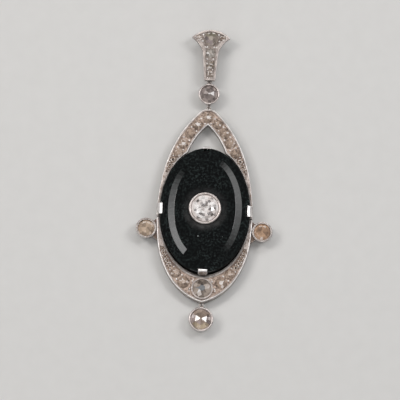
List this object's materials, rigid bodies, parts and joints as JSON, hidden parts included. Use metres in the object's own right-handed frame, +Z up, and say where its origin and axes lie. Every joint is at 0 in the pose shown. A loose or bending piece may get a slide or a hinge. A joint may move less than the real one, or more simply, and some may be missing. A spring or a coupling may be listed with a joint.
{
  "type": "onyx and diamond pendant",
  "caption": "Tall pointed oval pendant lying on its back: bevelled black onyx in a diamond-set white metal frame, with a fan-shaped bail, a round collet link and a round drop.",
  "frame": {"origin": "under the middle of the onyx, on the surface that the pendant lies on, at the underside of the middle collet's riveted head", "axes": "+X across the pendant, +Y toward the bail, +Z up out of its face"},
  "size_m": [0.0246, 0.0556, 0.0058],
  "materials": {
    "metal": "worn polished white metal with soft fine scratches",
    "diamond": "old and rose cut, faintly brown",
    "onyx": "polished"
  },
  "bodies": {
    "root": {"frame": "metal", "centre_collet": "metal", "bail": "metal", "top_collet": "metal", "drop_collet": "metal", "jump_ring_bail": "metal", "jump_ring_apex": "metal", "jump_ring_drop": "metal", "onyx": "onyx", "centre_stone": "diamond", "top_stone": "diamond", "drop_stone": "diamond", "side_stone_left": "diamond", "side_stone_right": "diamond", "toe_stone": "diamond", "arch_melee": "diamond", "crescent_melee": "diamond", "bail_stone_1": "diamond", "bail_stone_2": "diamond", "bail_stone_3": "diamond", "bail_stone_4": "diamond", "bail_stone_5": "diamond", "bail_stone_6": "diamond", "arch_stone_1": "diamond", "arch_stone_2": "diamond", "arch_stone_3": "diamond", "arch_stone_4": "diamond", "arch_stone_5": "diamond", "arch_stone_6": "diamond", "arch_stone_7": "diamond", "arch_stone_8": "diamond", "arch_stone_9": "diamond", "crescent_stone_1": "diamond", "crescent_stone_2": "diamond", "crescent_stone_3": "diamond", "crescent_stone_4": "diamond"}
  },
  "joints": []
}
